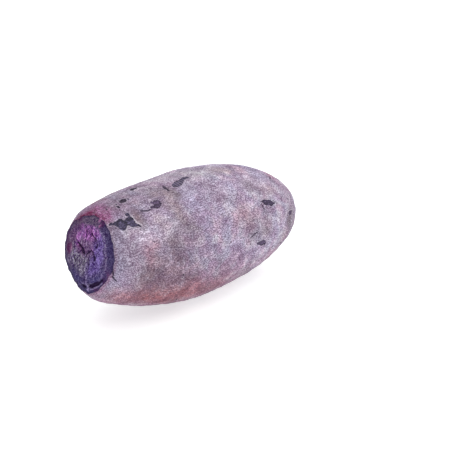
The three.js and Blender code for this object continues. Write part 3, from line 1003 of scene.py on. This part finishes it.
def cutLayers(place, look, cover, grain):
    small, fine = grain["small"], grain["fine"]

    # Marbled areas of colour, with pale threads
    loose = scaled(small, 1.6, 0.1)
    colour = tint(rise(grain["middle"], 0.4, 0.62), look["ground"], look["mossy"])
    colour = tint(times(field(place, "plum"), loose), colour, look["plum"])
    marbling = times(rise(grain["streaks"], 0.44, 0.62), cover["marbling"])
    for name in ("mossy", "violet", "magenta"):
        marbled = tint(marbling, look[name], look[name + "Light"])
        colour = tint(times(field(place, name), loose), colour, marbled)
    colour = tint(field(place, "navy"), colour, look["navy"])
    threads = worms(grain["threads"], 0.05)
    colour = tint(times(threads, cover["threads"]), colour, look["threadAndHighlight"])

    # The outer band, browner at the top, and a painted highlight line inside it on the -Y side, where its
    # shoulder catches the light
    band = plus(field(place, "band"), sway(small, 0.16))
    side = rise(axisOf(place, 1), *cutLook["lightSide"])
    onTop = rise(axisOf(place, 2), *cutLook["topBandHeights"])
    onTop = times(onTop, scaled(side, -0.8, 1.0))
    bandColour = tint(onTop, look["slate"], look["topBand"])
    colour = tint(times(rise(band, -0.02, 0.04), cover["band"]), colour, bandColour)
    # painted highlight along the band's shoulder, on the -Y side
    shoulderHighlight = times(rise(band, -0.07, -0.01), rise(band, 0.03, 0.0))
    colour = tint(times(times(shoulderHighlight, side), cover["shoulderHighlight"]), colour, look["threadAndHighlight"])

    # Light and dark, and bright flecks in the violet
    brightness = broadSwing(cutLook, grain, plus(fineSwing(cutLook, grain), 1.0))
    brightness = calc("MAXIMUM", brightness, cutLook["darkest"])
    colour = brighten(colour, brightness, cutLook["pull"])
    fleck = times(rise(grain["flecks"], 0.66, 0.76), field(place, "violet"))
    colour = tint(times(fleck, cover["fleck"]), colour, look["fleck"])

    # A dark rim, crimson and rose sap, pale ridges and dark cracks
    edge = rise(plus(field(place, "rimGap"), sway(small, 1.6)), -1.1, 0.1)
    colour = tint(times(edge, cover["edge"]), colour, look["edge"])
    for name in ("crimson", "rose"):
        colour = tint(times(field(place, name), loose), colour, look[name])
    ridge = times(lineShare(place, "torn", 0, 1.3, 0.4), scaled(rise(fine, 0.38, 0.6), 0.6, 0.15))
    colour = tint(ridge, colour, look["threadAndHighlight"])
    inCrack = lineShare(place, "crease", sway(fine, 1.2), 1.2, 0.5)
    colour = tint(times(inCrack, cover["crack"]), colour, look["crack"])

    return colour, {"crack": inCrack}


addLayers("papery skin", skinLook, skinLayers)
addLayers("dried cut flesh", cutLook, cutLayers)
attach(tuber, "root")
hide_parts("yam")
print("materials made")

studio = {
    "floorSize": 6,  # m
    "floorColour": (0.76, 0.8, 0.785, 1),
    "floorRoughness": 0.9,
    "floorGlow": 0.55,  # a light table, so that shadows stay faint
    "sky": 0.6,
    "keyPower": 34.8,
    "keySize": 3,
    "keyPlace": (0.4, -0.1, 1.35),
    "keyAim": (0, 0, 0.03),
    "aim": (0.0179, -0.0159, 0.0348),
    "azimuth": -46,
    "elevation": 21,
    "distance": 0.7,
    "lens": 102.5,  # mm
    "sensor": 36,
}


def addFloor():
    half = studio["floorSize"] / 2
    mesh = bpy.data.meshes.new("floor")
    corners = [(-half, -half, 0), (half, -half, 0), (half, half, 0), (-half, half, 0)]
    mesh.from_pydata(corners, [], [(0, 1, 2, 3)])
    material, shader = newMaterial("pale floor")
    feed(shader, {
        "Base Color": studio["floorColour"],
        "Roughness": studio["floorRoughness"],
        "Emission Color": (1, 1, 1, 1),
        "Emission Strength": studio["floorGlow"],
        "Specular IOR Level": 0.0,
    })
    mesh.materials.append(material)
    floor = addObject("floor", mesh)


def aimAt(thing, place, target):
    thing.location = place
    thing.rotation_euler = (Vector(target) - Vector(place)).to_track_quat("-Z", "Y").to_euler()


def addLights():
    world = bpy.data.worlds.new("studio")
    world.use_nodes = True
    feed(world.node_tree.nodes["Background"], {"Color": (1, 1, 1, 1), "Strength": studio["sky"]})
    scene.world = world
    lamp = bpy.data.lights.new("key", "AREA")
    lamp.energy = studio["keyPower"]
    lamp.size = studio["keySize"]
    aimAt(addObject("key", lamp), studio["keyPlace"], studio["keyAim"])


def addCamera():
    turn, tilt = math.radians(studio["azimuth"]), math.radians(studio["elevation"])
    back = Vector((math.sin(turn) * math.cos(tilt), -math.cos(turn) * math.cos(tilt), math.sin(tilt)))
    lens = bpy.data.cameras.new("camera")
    lens.lens = studio["lens"]
    lens.sensor_width = studio["sensor"]
    camera = addObject("camera", lens)
    aim = Vector(studio["aim"])
    aimAt(camera, aim + back * studio["distance"], aim)
    scene.camera = camera


addFloor()
addLights()
addCamera()
scene.view_settings.view_transform = "Standard"
print("studio made")
